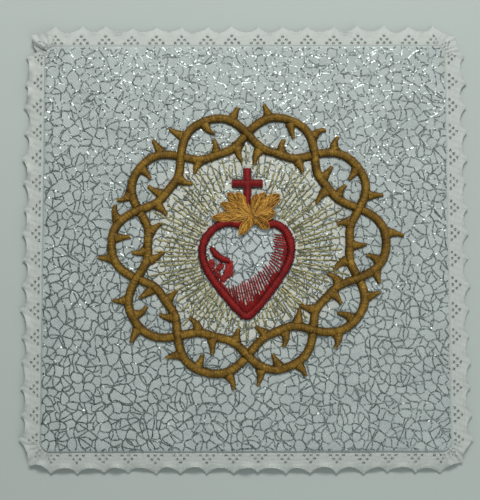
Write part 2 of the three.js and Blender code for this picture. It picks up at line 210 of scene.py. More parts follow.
def joined(parts):
    """Points and blocks of faces of several parts as one."""
    points, faces = [], []
    first = 0
    for part_points, blocks in parts:
        points.append(part_points)
        faces.extend(block + first for block in blocks)
        first += len(part_points)
    return np.concatenate(points), faces


def tubes(paths, radius, sides=4, closed=False):
    """Points and blocks of faces of many tubes at once. paths is tubes by points by 3."""
    paths = np.asarray(paths, dtype=float)
    count, steps, _ = paths.shape
    if closed:
        ahead = np.roll(paths, -1, axis=1) - np.roll(paths, 1, axis=1)
    else:
        ahead = np.gradient(paths, axis=1)
    ahead /= np.linalg.norm(ahead, axis=2, keepdims=True) + 1e-9
    side = np.cross(ahead, [0.0, 0.0, 1.0])
    side /= np.linalg.norm(side, axis=2, keepdims=True) + 1e-9
    rise = np.cross(side, ahead)
    angle = np.arange(sides)[:, None] / sides * TURN
    ring = side[:, :, None] * np.cos(angle) + rise[:, :, None] * np.sin(angle)
    points = paths[:, :, None] + ring * radius
    index = np.arange(count * steps * sides).reshape(count, steps, sides)
    here = index if closed else index[:, :-1]
    next_ring = np.roll(index, -1, axis=1) if closed else index[:, 1:]
    faces = np.stack(
        [here, np.roll(here, -1, axis=2), np.roll(next_ring, -1, axis=2), next_ring],
        axis=3,
    )
    blocks = [faces.reshape(-1, 4)]
    if not closed:
        blocks.append(np.concatenate([index[:, 0, ::-1], index[:, -1]]))
    return points.reshape(-1, 3), blocks


THREAD_SIDES = 4


def thread_piece(name, bundles, material):
    """One piece from bundles of threads: paths, radius, how much their ends are darkened as painted shade,
    middle tone and its spread.
    """
    parts, tones = [], []
    for paths, radius, painted_edge_shade, middle_tone, spread in bundles:
        parts.append(tubes(paths, radius, THREAD_SIDES))
        count, steps = paths.shape[:2]
        shade = RNG.normal(middle_tone, spread, (count, 1, 1))
        place = np.abs(np.linspace(-1, 1, steps))[:, None]
        # Each thread is darkened towards both ends: painted shade where the stitch curves down into the
        # cloth
        tone = shade - painted_edge_shade * place**3 + np.zeros((count, steps, THREAD_SIDES))
        tones.append(tone.ravel())
    points, faces = joined(parts)
    return mesh_piece(name, points, faces, material, tone=np.clip(np.concatenate(tones), 0, 1))


# Materials

# Colours from dark to light, in linear red, green and blue
BROCADE = [(0.33, 0.375, 0.37), (0.56, 0.62, 0.61)]
BROCADE_IN_HEART = [(0.40, 0.44, 0.445), (0.62, 0.69, 0.70)]
BROCADE_AMONG_RAYS = [(0.47, 0.475, 0.42), (0.74, 0.745, 0.67)]
HEART_MIDDLE = (0.6, -3.0)
HEART_FADES = (20.0, 12.0)  # where the heart's ground starts, and where it shows fully
RAYS_FADE = (45.0, 36.0)  # the same for the rays' ground
SILVER = [(0.11, 0.135, 0.13), (0.37, 0.415, 0.40)]
COTTON = [(0.40, 0.43, 0.41), (0.56, 0.592, 0.566)]
FLOOR = [(0.415, 0.46, 0.44), (0.44, 0.487, 0.468)]
BRONZE = [(0.022, 0.012, 0.001), (0.152, 0.081, 0.008), (0.50, 0.30, 0.04)]
RED = [(0.045, 0.002, 0.002), (0.185, 0.006, 0.006), (0.41, 0.018, 0.015)]
GOLD = [(0.09, 0.035, 0.002), (0.33, 0.15, 0.012), (0.68, 0.38, 0.07)]
RAY_GOLD = [(0.04, 0.037, 0.006), (0.19, 0.17, 0.045), (0.60, 0.54, 0.25)]


class Nodes:
    """A material's node tree, with the Principled shader and the object's coordinates ready."""

    def __init__(self, name, roughness, metallic=0.0):
        self.material = bpy.data.materials.new(name)
        self.material.use_nodes = True
        self.tree = self.material.node_tree
        self.shader = self.tree.nodes["Principled BSDF"]
        self.shader.inputs["Roughness"].default_value = roughness
        self.shader.inputs["Metallic"].default_value = metallic
        self.place = self.add("ShaderNodeTexCoord").outputs["Object"]

    def add(self, kind, **values):
        node = self.tree.nodes.new(kind)
        for key, value in values.items():
            if hasattr(node, key):
                setattr(node, key, value)
            else:
                node.inputs[key.replace("_", " ")].default_value = value
        return node

    def link(self, source, target):
        self.tree.links.new(source, target)

    def ramp(self, source, stops, colours):
        node = self.add("ShaderNodeValToRGB")
        elements = node.color_ramp.elements
        while len(elements) < len(stops):
            elements.new(0.5)
        for element, stop, colour in zip(elements, stops, colours):
            element.position = stop
            element.color = (*colour, 1.0)
        self.link(source, node.inputs["Fac"])
        return node.outputs["Color"]

    def mix(self, share, first, second):
        node = self.add("ShaderNodeMixRGB")
        for name, source in (("Fac", share), ("Color1", first), ("Color2", second)):
            self.link(source, node.inputs[name])
        return node.outputs["Color"]

    def combine(self, operation, first, second):
        """Two outputs, or an output and a number, made one."""
        node = self.add("ShaderNodeMath", operation=operation)
        for socket, value in zip(node.inputs, (first, second)):
            if isinstance(value, (int, float)):
                socket.default_value = value
            else:
                self.link(value, socket)
        return node.outputs[0]

    def noise(self, scale, detail=2.0):
        node = self.add("ShaderNodeTexNoise", Scale=scale, Detail=detail)
        self.link(self.place, node.inputs["Vector"])
        return node.outputs["Fac"]

    def bands(self, place, direction, scale, distortion, detail=1.0):
        node = self.add("ShaderNodeTexWave", Scale=scale, Distortion=distortion, Detail=detail)
        node.bands_direction = direction
        self.link(place, node.inputs["Vector"])
        return node.outputs["Fac"]

    def tone(self):
        return self.add("ShaderNodeAttribute", attribute_name="tone").outputs["Fac"]

    def near(self, centre, far, close):
        """1 closer to a spot on the face than close, and 0 past far."""
        gap = self.add("ShaderNodeVectorMath", operation="DISTANCE")
        gap.inputs[1].default_value = [v * MM for v in (*centre, CLOTH_TOP)]
        self.link(self.place, gap.inputs[0])
        share = self.add("ShaderNodeMapRange", From_Min=far * MM, From_Max=close * MM)
        self.link(gap.outputs["Value"], share.inputs["Value"])
        return share.outputs["Result"]

    def finish(self, colour, specular=0.5, bumps=None, strength=0.0, depth=0.0):
        """The material, with its colour, and with bumps of a depth in millimetres."""
        self.link(colour, self.shader.inputs["Base Color"])
        self.shader.inputs["Specular IOR Level"].default_value = specular
        if bumps:
            node = self.add("ShaderNodeBump", Strength=strength, Distance=depth * MM)
            self.link(bumps, node.inputs["Height"])
            self.link(node.outputs["Normal"], self.shader.inputs["Normal"])
        return self.material


def brocade_material():
    """Pale silver-grey twill, paler inside the heart and creamy among the rays."""
    nodes = Nodes("brocade", roughness=0.5)
    twill = nodes.bands(nodes.place, "DIAGONAL", scale=520.0, distortion=2.5, detail=2.0)
    weft = nodes.bands(nodes.place, "Y", scale=900.0, distortion=2.0)
    weave = nodes.combine("MULTIPLY", twill, weft)
    height = nodes.combine("ADD", weave, nodes.noise(scale=1100.0))
    cloudy = nodes.combine("MULTIPLY", nodes.noise(scale=120.0, detail=4.0), 0.5)
    mixed = nodes.combine("ADD", cloudy, nodes.combine("MULTIPLY", height, 0.35))
    outer, heart, rays = (
        nodes.ramp(mixed, (0.28, 0.85), colours)
        for colours in (BROCADE, BROCADE_IN_HEART, BROCADE_AMONG_RAYS)
    )
    inner = nodes.mix(nodes.near(HEART_MIDDLE, *HEART_FADES), rays, heart)
    colour = nodes.mix(nodes.near(CROWN_CENTRE, *RAYS_FADE), outer, inner)
    return nodes.finish(colour, bumps=height, strength=0.8, depth=0.16)


def silver_material():
    """Flat metallic yarn."""
    nodes = Nodes("silver_yarn", roughness=0.4, metallic=1.0)
    colour = nodes.ramp(nodes.tone(), (0.0, 1.0), SILVER)
    grain = nodes.noise(scale=4000.0, detail=1.0)
    return nodes.finish(colour, bumps=grain, strength=0.3, depth=0.05)


def thread_material(name, colours, roughness=0.5):
    """Lustrous rayon thread. The tone attribute is a little different for each thread, and lower towards
    each thread's ends, which paints shade there.
    """
    nodes = Nodes(name, roughness=roughness)
    tone = nodes.combine("MULTIPLY", nodes.tone(), 0.55)
    cloud = nodes.combine("MULTIPLY", nodes.noise(scale=230.0, detail=3.0), 0.4)
    speckle = nodes.noise(scale=1500.0, detail=1.0)
    uneven_colour = nodes.combine("ADD", cloud, nodes.combine("MULTIPLY", speckle, 0.35))
    colour = nodes.ramp(nodes.combine("ADD", tone, uneven_colour), (0.35, 0.62, 0.92), colours)
    return nodes.finish(colour, specular=0.3, bumps=speckle, strength=0.4, depth=0.1)


def lace_material():
    """Matt cotton thread, worked in a close mesh of upright bars and rows."""
    nodes = Nodes("cotton_lace", roughness=0.9)
    where = nodes.add("ShaderNodeUVMap", uv_map="LaceUV").outputs["UV"]
    bars = nodes.bands(where, "X", scale=0.72, distortion=0.8)
    rows = nodes.bands(where, "Y", scale=0.6, distortion=0.8)
    fluff = nodes.combine("MULTIPLY", nodes.noise(scale=1500.0, detail=3.0), 0.5)
    height = nodes.combine("ADD", nodes.combine("MAXIMUM", bars, rows), fluff)
    colour = nodes.ramp(height, (0.35, 1.0), COTTON)
    return nodes.finish(colour, specular=0.2, bumps=height, strength=0.7, depth=0.2)


# Lines of the panel and the emblem

def outline(repeats):
    """Points and outward normals on the panel's outline, at places given in lace repeats."""
    repeats = np.asarray(repeats, dtype=float)
    quarter = np.floor(repeats / REPEATS_PER_QUARTER)
    rest = repeats - quarter * REPEATS_PER_QUARTER
    half = PANEL_SIDE / 2 - CORNER_RADIUS
    on_side = np.clip(rest / REPEATS_PER_SIDE, 0, 1)
    turned = np.clip((rest - REPEATS_PER_SIDE) / REPEATS_PER_CORNER, 0, 1) * math.pi / 2
    normal = directions(turned)
    point = np.stack([np.full_like(rest, half), -half + 2 * half * on_side], axis=1)
    point = point + normal * CORNER_RADIUS
    cos, sin = directions(quarter * math.pi / 2).T
    return rotated(point, cos, sin), rotated(normal, cos, sin)


def stem_line(stem, turn):
    """The middle line of a stem, turn 0 to 1 once round from the top."""
    angle = math.pi / 2 + np.asarray(turn) * TURN
    swing = (1 if stem == 0 else -1) * np.cos(CROWN_WAVES * angle)
    out = CROWN_SWING * swing + CROWN_SWELL * swing**2 - CROWN_FLATTEN * swing**3
    for waves, size, peak in OVAL_WAVES:
        out = out + size * np.cos(waves * angle - math.radians(peak))
    return CROWN_CENTRE + (CROWN_RADII + out[..., None]) * directions(angle)


# Panel

CLOTH_TOP = 3.78
GRID_STEP = 1.0
RIM_STEPS = 8  # round a corner
RIM = [  # inset from the outline, share kept of the face's height, and height added to that share
    (2.2, 1.0, 0.0), (1.3, 1.0, -0.02), (0.75, 1.0, -0.08), (0.35, 1.0, -0.2), (0.1, 1.0, -0.4),
    (0.0, 0.0, 3.15), (0.1, 0.0, 2.95), (0.5, 0.0, 2.85), (2.4, 0.0, 2.75), (2.4, 0.0, 1.65),
    (0.95, 0.0, 1.5), (0.9, 0.0, 0.8), (1.2, 0.0, 0.2), (2.0, 0.0, 0.0),
]


def cloth_height(points, stitched):
    """The face's height: nearly flat, drawn down a little beside the stitching."""
    x, y = points[:, 0], points[:, 1]
    swell = 0.09 * np.sin(x * 0.11 + 1.3) * np.sin(y * 0.09 + 0.4)
    ripple = 0.05 * np.sin(x * 0.27 + y * 0.21)
    drawn_in = 0.2 * np.exp(-((distance_to(points, stitched) / 2.6) ** 2))
    return CLOTH_TOP + (swell + ripple) - drawn_in


def face_grid(stitched):
    """Points on a grid over the face, and their numbers."""
    half = PANEL_SIDE / 2 - CORNER_RADIUS
    count = int(round(2 * half / GRID_STEP)) + 1
    line = np.linspace(-half, half, count)
    gx, gy = np.meshgrid(line, line)
    flat = np.stack([gx.ravel(), gy.ravel()], axis=1)
    grid = np.column_stack([flat, cloth_height(flat, stitched)])
    return grid, np.arange(len(flat)).reshape(count, count)


def grid_edge(index):
    """The grid's edge, anticlockwise with each corner repeated, and the places on the outline it faces."""
    right, top = index[:-1, -1], index[-1, :0:-1]
    left, bottom = index[:0:-1, 0], index[0, :-1]
    sides = (right, top, left, bottom)
    edge, repeats = [], []
    for quarter, side in enumerate(sides):
        start = quarter * REPEATS_PER_QUARTER
        edge.extend(side)
        repeats.extend(start + np.arange(len(side)) / len(side) * REPEATS_PER_SIDE)
        edge.extend([sides[(quarter + 1) % 4][0]] * RIM_STEPS)
        turned = np.arange(RIM_STEPS) / RIM_STEPS * REPEATS_PER_CORNER
        repeats.extend(start + REPEATS_PER_SIDE + turned)
    return np.array(edge), repeats


def make_panel(material, stitched):
    """One closed mesh: face, rim with the slot for the lace, and underside."""
    grid, index = face_grid(stitched)
    squares = np.stack([index[:-1, :-1], index[:-1, 1:], index[1:, 1:], index[1:, :-1]], axis=2)
    before, repeats = grid_edge(index)
    edge, normal = outline(repeats)
    inner_height = grid[before, 2]
    points, faces = [grid], [squares.reshape(-1, 4)]
    first = len(grid)
    for inset, keep, add in RIM:
        points.append(np.column_stack([edge - normal * inset, inner_height * keep + add]))
        here = np.arange(first, first + len(edge))
        faces.append(np.stack([before, here, np.roll(here, -1), np.roll(before, -1)], axis=1))
        before = here
        first += len(edge)

    # Faces at the grid's corners have a point twice, which goes
    rows = np.concatenate(faces).tolist()
    clean = [[c for i, c in enumerate(row) if c != row[i - 1]] for row in rows]
    clean.append(before[::-1].tolist())
    panel = mesh_piece("panel_cloth", np.concatenate(points), [clean], material)
    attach(panel, "root")
    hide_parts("panel")


# Silver figure: metallic yarn on the lines of an irregular net

NET_SPACING = 3.6
NET_JITTER = 0.42
NET_SPLIT = [0.7]  # chance of each chord that splits a cell
NET_SPLIT_INSIDE = [1.0, 0.75]  # the same inside the crown
NET_INSIDE = 34.0
NET_DROPPED = 0.03
NET_BOW = 0.11  # how far a line bows, as a share of its length
FLOAT_PITCH = 0.68
FLOAT_LONG = (0.24, 0.42)  # half length, from and to
FLOAT_WIDE = (0.17, 0.29)  # half width
FLOAT_KEEL = 0.3
FLOAT_INSET = 0.6  # from the panel's outline
LINE_LEAN = (0.03, 0.11)  # a line's spread of tilt along it and roll about it, in radians
FLOAT_LEAN = (0.06, 0.12)  # the same from float to float
GLINTS = 0.07  # share of the floats that are turned much further
GLINT_LEAN = (0.2, 0.4)


def net_cells():
    """Points round which the cells lie, in staggered rows, and the corners of every cell in order."""
    reach = PANEL_SIDE / 2 + 8
    line = np.arange(-reach, reach, NET_SPACING)
    gx, gy = np.meshgrid(line, line)
    gx = gx + (np.arange(len(line)) % 2)[:, None] * NET_SPACING / 2
    seeds = np.stack([gx.ravel(), gy.ravel()], axis=1)
    seeds += RNG.uniform(-NET_JITTER, NET_JITTER, seeds.shape) * NET_SPACING
    triangles = np.array(delaunay_2d_cdt([Vector(p) for p in seeds], [], [], 0, 1e-6)[2])
    a, b, c = (seeds[triangles[:, k]] for k in range(3))
    ab, ac = b - a, c - a
    cross = 2 * (ab[:, 0] * ac[:, 1] - ab[:, 1] * ac[:, 0])
    ab2, ac2 = (ab**2).sum(axis=1), (ac**2).sum(axis=1)
    x = (ac[:, 1] * ab2 - ab[:, 1] * ac2) / cross
    y = (ab[:, 0] * ac2 - ac[:, 0] * ab2) / cross
    round_centre = a + np.stack([x, y], axis=1)
    cells = []
    for i, seed in enumerate(seeds):
        if np.abs(seed).max() <= reach - 2 * NET_SPACING:
            corners = np.flatnonzero((triangles == i).any(axis=1))
            around = round_centre[corners] - seed
            cells.append(corners[np.argsort(np.arctan2(around[:, 1], around[:, 0]))].tolist())
    return round_centre, cells


def net_lines():
    """Start, end and bow of the net's lines: the cells' sides, and chords that split cells."""
    corner, cells = net_cells()
    lines = set()
    for cell in cells:
        count = len(cell)
        pairs = [(k, k + 1) for k in range(count)]
        inside = math.dist(corner[cell].mean(axis=0), RAY_CENTRE) < NET_INSIDE
        for chance in NET_SPLIT_INSIDE if inside else NET_SPLIT:
            first = int(RNG.integers(count))
            if count > 4 and RNG.random() < chance:
                pairs.append((first, first + count // 2))
        lines.update(tuple(sorted((cell[a], cell[b % count]))) for a, b in pairs)
    lines = np.array(sorted(lines))
    start, end = corner[lines[:, 0]], corner[lines[:, 1]]
    length = np.linalg.norm(end - start, axis=1)
    kept = (length > 0.5) & (length < 2.6 * NET_SPACING) & (RNG.random(len(start)) > NET_DROPPED)
    start, end, length = start[kept], end[kept], length[kept]
    overrun = RNG.uniform(-0.03, 0.1, (len(start), 1)) * (end - start)
    return start - overrun, end + overrun, RNG.normal(0, NET_BOW, len(start)) * length


def net_floats():
    """Places, directions and leans of the short metallic floats along the net's lines."""
    places, ways, leans = [], [], []
    for start, end, bow in zip(*net_lines()):
        span = end - start
        length = np.linalg.norm(span)
        side = np.array([-span[1], span[0]]) / length
        t = np.arange(0.5, length / FLOAT_PITCH) * FLOAT_PITCH / length
        places.append(start + t[:, None] * span + (4 * bow * t * (1 - t))[:, None] * side)
        ways.append(span + (4 * bow * (1 - 2 * t))[:, None] * side)
        leans.append(np.zeros((len(t), 2)) + RNG.normal(0, LINE_LEAN))
    place, way, lean = (np.concatenate(parts) for parts in (places, ways, leans))
    inside = (np.abs(place) < PANEL_SIDE / 2 - FLOAT_INSET).all(axis=1)
    corner = np.abs(place) - (PANEL_SIDE / 2 - CORNER_RADIUS)
    inside &= ~((corner > 0).all(axis=1) & (np.hypot(*corner.T) > CORNER_RADIUS - FLOAT_INSET))
    return place[inside], way[inside], lean[inside]


def make_silver(material, height_at):
    """Each float is a short flat chip with a keel, tilted its own way so that some glint."""
    place, way, lean = net_floats()
    count = len(place)
    place = place + RNG.normal(0, 0.05, place.shape)
    way = directions(np.arctan2(way[:, 1], way[:, 0]) + RNG.normal(0, 0.24, count))
    spread = np.where(RNG.random((count, 1)) < GLINTS, GLINT_LEAN, FLOAT_LEAN)
    lean = lean + RNG.normal(0, spread)
    ahead = np.column_stack([way * np.cos(lean[:, :1]), np.sin(lean[:, 0])])
    side = np.column_stack([-way[:, 1], way[:, 0], np.zeros(count)])
    up = np.cross(ahead, side)
    roll = lean[:, 1:]
    side, up = side * np.cos(roll) + up * np.sin(roll), up * np.cos(roll) - side * np.sin(roll)
    centre = np.column_stack([place, height_at(place) + 0.1])
    half_long = ahead * RNG.uniform(*FLOAT_LONG, (count, 1))
    half_wide = side * RNG.uniform(*FLOAT_WIDE, (count, 1))
    rows = [centre + a * half_long + b * half_wide for a in (-1, 1) for b in (-1, 1)]
    rows.append(centre - up * FLOAT_KEEL)
    points = np.stack(rows, axis=1).reshape(-1, 3)
    first = np.arange(count)[:, None, None] * len(rows)
    top = np.array([(0, 2, 3, 1)])
    sides = np.array([(0, 4, 2), (3, 4, 1), (1, 4, 0), (2, 4, 3)])
    faces = [(first + shape).reshape(-1, shape.shape[1]) for shape in (top, sides)]
    tone = np.repeat(np.clip(RNG.normal(0.5, 0.25, count), 0, 1), len(rows))
    silver = mesh_piece("silver_figure", points, faces, material, smooth=False, tone=tone)
    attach(silver, "root")


# Lace

LACE_THICK = 0.36
LACE_HEADING = 1.2
LACE_FALL = [(-1.2, 2.2), (-0.1, 2.2), (0.5, 2.6), (1.6, 2.5), (4.2, 2.2)]  # reach and height
EDGE_Z = 1.1
EDGE_WAVES = [(7, 0.28, 0.6), (23, 0.22, 2.1)]  # times round, height, start
REACH_WAVES = [(25, 0.035, 0.7), (57, 0.03, 2.0)]  # times round, share of the reach, start
ARCH_RISE = 1.1
SIDE_RISE = [0.0, 0.0, 0.9, 1.2]  # what that grows by on the right, top, left and bottom side
ARCH_CHANGE = 2.4  # makes one arch rise more than the next
CURLED_ARCHES = [(34, 1.8), (35, 1.6), (38, 0.9), (44, 0.9)]  # which repeat, and its extra rise
FOLD_STARTS, FOLD_ENDS, FOLD_NOTCH = 31.4, 33.2, 33.6  # in repeats: one corner is folded over
FOLD_RISE = 1.4
FOLD_DEPTH = 0.42  # share of the reach that the notch takes
GATHER_HEIGHT, GATHERS = 0.22, 3  # how high at the corners, and how many in a repeat
RIPPLE_HEIGHT, RIPPLES = 0.06, 4  # the same for finer ones everywhere
EYELETS = [  # place along the edge from the point, and reach past the panel
    (0.0, 4.3), (-1.3, 2.95), (1.35, 2.9), (-2.6, 1.55), (0.05, 1.5), (2.65, 1.5),
]
EYELET_LONG = 0.56  # half length, along the edge
EYELET_TALL = 0.42  # half height
EYELET_SIDES = 12
RING_RADIUS = 0.14
RING_PAST = 0.12
BAR_RADIUS = 0.13
CORD_RADIUS = 0.24
CORD_INSET = 0.1
CORD_STEPS = 24  # in a repeat
LOOSE_RADIUS = 0.14
LOOSE_THREAD = [
    (-79.6, 74.0, 3.2), (-78.6, 76.2, 4.0), (-77.2, 77.9, 4.4), (-75.6, 77.2, 4.3),
    (-75.0, 74.8, 4.1),
]


def lace_reach(from_point):
    """Reach at a distance of -0.5 to 0.5 repeats from the nearest point."""
    near = 1 - 2 * np.abs(from_point)
    return VALLEY + (POINT - VALLEY) * near**2


def with_waves(value, waves, turn):
    """A value with waves added to it, each a number of times round the pall, a size and a start."""
    for times, size, start in waves:
        value = value + size * np.sin(times * turn + start)
    return value


def edge_height(repeats, turn):
    """The free edge's height: lowest at its points, in uneven arches between them."""
    centres = (np.arange(-1, 5) * REPEATS_PER_QUARTER) + REPEATS_PER_SIDE / 2
    more = np.interp(repeats, centres, [SIDE_RISE[-1], *SIDE_RISE, SIDE_RISE[0]])
    rise = ARCH_RISE + more * (0.6 + 0.4 * np.sin(ARCH_CHANGE * np.floor(repeats)))
    for arch, height in CURLED_ARCHES:
        rise = rise + height * (np.floor(repeats) == arch)
    arched = EDGE_Z + rise * (0.5 - 0.5 * np.cos(TURN * repeats))
    return with_waves(arched, EDGE_WAVES, turn)


def lace_height(repeats, reach, turn):
    """The lace's height, down from the seam to the free edge, with the corners' gathers and the fold."""
    fall_reach, fall_z = np.array(LACE_FALL).T
    edge_reach = lace_reach(repeats - np.round(repeats))
    share = np.clip((reach - fall_reach[-1]) / (edge_reach - fall_reach[-1]), 0, 1) ** 1.3
    z = np.interp(reach, fall_reach, fall_z) * (1 - share) + edge_height(repeats, turn) * share
    into = np.mod(repeats, REPEATS_PER_QUARTER) - REPEATS_PER_SIDE
    corner = np.clip(1 - np.abs(into - REPEATS_PER_CORNER / 2) / 1.6, 0, 1)
    gather = GATHER_HEIGHT * corner * np.sin(TURN * GATHERS * repeats) * np.clip(reach, 0, 1)
    fold = np.clip((repeats - FOLD_STARTS) / 1.6, 0, 1) * (repeats < FOLD_ENDS) * FOLD_RISE
    z = z + fold * np.clip(reach / 1.5, 0, 1)
    ripple = RIPPLE_HEIGHT * np.sin(TURN * RIPPLES * repeats + reach) * np.clip(reach / 3, 0, 1)
    return np.maximum(z + gather + ripple, LACE_THICK / 2 + 0.02)


def lace_place(repeats, reach):
    """Where a spot of the lace lies."""
    turn = TURN * repeats / REPEATS
    drift = 0.05 * np.clip(reach / POINT, 0, 1) * np.sin(41 * turn + 1.0)
    edge, normal = outline(np.mod(repeats + drift, REPEATS))
    notch = np.clip(1 - np.abs(repeats - FOLD_NOTCH) / 0.4, 0, 1) * FOLD_DEPTH
    uneven_reach = with_waves(1, REACH_WAVES, turn)
    flat = edge + normal * (reach * np.where(reach > 0, uneven_reach - notch, 1))[:, None]
    return np.column_stack([flat, lace_height(repeats, reach, turn)])


def lace_tile(step=0.62, from_eyelet=0.25, from_arch=0.3):
    """Points and triangles of one repeat, from arch to arch round its eyelets, in place and reach."""
    half = REPEAT / 2
    heading_count, side_count, arch_count = 14, 9, 26
    heading = [(x, -LACE_HEADING) for x in np.linspace(-half, half, heading_count)]
    side = np.linspace(-LACE_HEADING, VALLEY, side_count)[1:]
    right = [(half, t) for t in side]
    arch = [
        (s * REPEAT, float(lace_reach(s))) for s in np.linspace(0.5, -0.5, arch_count)[1:-1]
    ]
    left = [(-half, t) for t in side[::-1]]
    points = heading + right + arch + left
    edges = [(i, (i + 1) % len(points)) for i in range(len(points))]
    for x, t in EYELETS:
        first = len(points)
        for k in range(EYELET_SIDES):
            angle = TURN * k / EYELET_SIDES
            points.append((x + EYELET_LONG * math.cos(angle), t + EYELET_TALL * math.sin(angle)))
            edges.append((first + k, first + (k + 1) % EYELET_SIDES))
    for t in np.arange(-LACE_HEADING + step, POINT, step):
        for x in np.arange(-half + step * 0.8, half - step * 0.5, step):
            clear = all(math.hypot(x - ex, t - et) > EYELET_LONG + from_eyelet for ex, et in EYELETS)
            if clear and t < lace_reach(x / REPEAT) - from_arch:
                points.append((x, t))
    result = delaunay_2d_cdt([Vector(p) for p in points], edges, [], 0, 1e-6)
    places = np.array([tuple(v) for v in result[0]])
    triangles = np.array(result[2])
    x, t = places[triangles].mean(axis=1).T
    keep = t < lace_reach(x / REPEAT)
    for ex, et in EYELETS:
        keep &= np.hypot((x - ex) / EYELET_LONG, (t - et) / EYELET_TALL) > 0.9
    return places, triangles[keep]


def lace_sheet(material):
    """The lace itself: the tile again and again round the panel."""
    places, triangles = lace_tile()
    tiles, uvs = [], []
    for i in range(REPEATS):
        tiles.append((lace_place(i + places[:, 0] / REPEAT, places[:, 1]), [triangles]))
        uvs.append(np.column_stack([i * REPEAT + places[:, 0], places[:, 1]]))
    points, faces = joined(tiles)
    lace = mesh_piece("lace", points, faces, material, uv=np.concatenate(uvs))
    weld = lace.modifiers.new("weld", "WELD")
    weld.merge_threshold = 0.02 * MM
    solid = lace.modifiers.new("thickness", "SOLIDIFY")
    solid.thickness = LACE_THICK * MM
    solid.offset = 0
    return lace


def eyelet_threads():
    """Whipped rings round the eyelets, and a bar across each."""
    ring = np.arange(EYELET_SIDES) / EYELET_SIDES * TURN
    across = np.linspace(-1, 1, 3)
    long, tall = EYELET_LONG + RING_PAST, EYELET_TALL + RING_PAST
    rings, bars = [], []
    for i in range(REPEATS):
        for x, t in EYELETS:
            path = lace_place(i + (x + long * np.cos(ring)) / REPEAT, t + tall * np.sin(ring))
            path[:, 2] += LACE_THICK / 2
            rings.append(path)
            angle = RNG.uniform(0, math.pi)
            along = i + (x + across * long * math.cos(angle)) / REPEAT
            bars.append(lace_place(along, t + across * tall * math.sin(angle)))
    return tubes(rings, RING_RADIUS, closed=True), tubes(bars, BAR_RADIUS)


def make_lace(material):
    """The lace with its threads, a cord along the arches and a loose end at the join."""
    lace = lace_sheet(material)
    s = np.arange(REPEATS * CORD_STEPS) / CORD_STEPS
    cord = lace_place(s, lace_reach(s - np.round(s)) - CORD_INSET)
    points, faces = joined([
        *eyelet_threads(),
        tubes(cord[None], CORD_RADIUS, sides=6, closed=True),
        tubes(smooth_line(LOOSE_THREAD)[None], LOOSE_RADIUS),
    ])
    trim = mesh_piece("lace_cords", points, faces, material, uv=points[:, :2])
    for piece in (lace, trim):
        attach(piece, "root")
    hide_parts("lace_edging")


# Satin stitch

THREAD_PITCH = 0.31
THREAD_RADIUS = 0.19
# How much darker each satin thread grows towards its ends: painted shade along the edges of the columns,
# where the satin curves down
PAINTED_EDGE_SHADE = 0.85
MIDDLE_TONE = 0.55
TONE_SPREAD = 0.05
ACROSS = np.array([-1.0, -0.88, -0.58, -0.2, 0.2, 0.58, 0.88, 1.0])
SATIN_ROUND = (1 - np.abs(ACROSS) ** 2.1) ** 0.55  # share of the height at those places
SATIN_FOOT = 0.15  # below the part's own column
SATIN_RISE = 0.45  # above that column, in the middle
STEM_GROWS = 0.15  # wider than that column
THORN_GROWS = 0.05
THORNS = [  # stem, side, place along each of the ten arcs in hundredths, lean on each arc in degrees
    ("outer", 1, [20, 18, 22, 22, 18, 16, 23, 18, 14, 15], [-4, 28, -34, 8, -15, 21, -19, -25, 17, 14]),
    ("outer", 1, [81, 80, 67, 57, 74, 59, 80, 63, 80, 73], [-2, 25, -20, 20, 8, 7, 13, -24, 1, 9]),
    ("outer", -1, [52, 48, 42, 40, 40, 40, 47, 25, 49, 48], [-18, 9, -11, -4, -4, -18, -19, -5, -17, -29]),
    ("inner", 1, [51, 61, 58, 51, 45, 60, 63, 48, 47, 42], [-12, 10, 12, -9, 16, -23, -8, 4, -9, 16]),
    ("inner", -1, [13, 24, 32, 22, 22, 32, 23, 23, 28, 20], [36, 4, -37, -17, -30, -26, -6, -20, 8, -20]),
    ("inner", -1, [77, 81, 77, 79, 81, 82, 79, 84, 68, 77], [27, -16, -45, -25, -23, 3, -18, -32, 14, -10]),
]
SWAPPED_ARCS = (3, 8)
THORN_LENGTH = 6.6
THORN_LENGTH_SPREAD = 0.12
THORN_ROOT_WIDTH = 5.4
THORN_TIP_WIDTH = 1.25
THORN_FLARE = 1.5
THORN_BEND = -12
THORN_BEND_SPREAD = 22
THORN_STEPS = 5
THORN_HEIGHT = 0.85
THORN_FALL = 0.35  # share of its height that it loses towards its tip
THORN_HIDDEN = 0.18  # share of its length that lies in the stem
CROSS_TAPER = ([13.4, 20.5], [0.3, 1.0])  # y, and share of the width there


def satin(middle, ahead, width, height, slant=0.25, ragged=0.12):
    """Threads laid across a column, one at each point of its middle line."""
    count = len(middle)
    width = np.broadcast_to(width, count) + RNG.normal(0, ragged, count)
    height = np.broadcast_to(height, count)
    right = np.column_stack([ahead[:, 1], -ahead[:, 0]])
    across = ACROSS[:, None] * (width / 2)[:, None, None] * right[:, None]
    slants = ACROSS * slant + RNG.normal(0, 0.03, (count, 1))
    flat = middle[:, None] + across + slants[:, :, None] * ahead[:, None]
    z = STITCH_BASE - SATIN_FOOT + (height[:, None] + SATIN_RISE) * SATIN_ROUND
    z = z + RNG.normal(0, 0.012, (count, 1))
    return with_height(flat, z), THREAD_RADIUS, PAINTED_EDGE_SHADE, MIDDLE_TONE, TONE_SPREAD


def crown_lines():
    """For each stem, at an even pitch: middle line, direction, height, and whether it is the upper one."""
    turns = np.linspace(0, 1, 4001)
    crossings = 2 * CROWN_WAVES
    result = []
    for stem in (0, 1):
        fine = stem_line(stem, turns)
        middle, ahead, share = resample(fine, THREAD_PITCH)
        along = distances_along(fine)
        crossing = np.round(np.interp(share * along[-1], along, turns) * crossings).astype(int)
        upper = UPPER_STEM[crossing % crossings] == stem
        at = stem_line(stem, crossing / crossings)
        far = np.linalg.norm(middle - at, axis=1) / OVERPASS_REACH
        height = STITCH_HEIGHT + np.where(upper, OVERPASS * np.exp(-(far**2)), 0)
        result.append((middle, ahead, height, upper))
    return result


def uneven(index):
    return math.sin(index * 2.4 + 0.5)


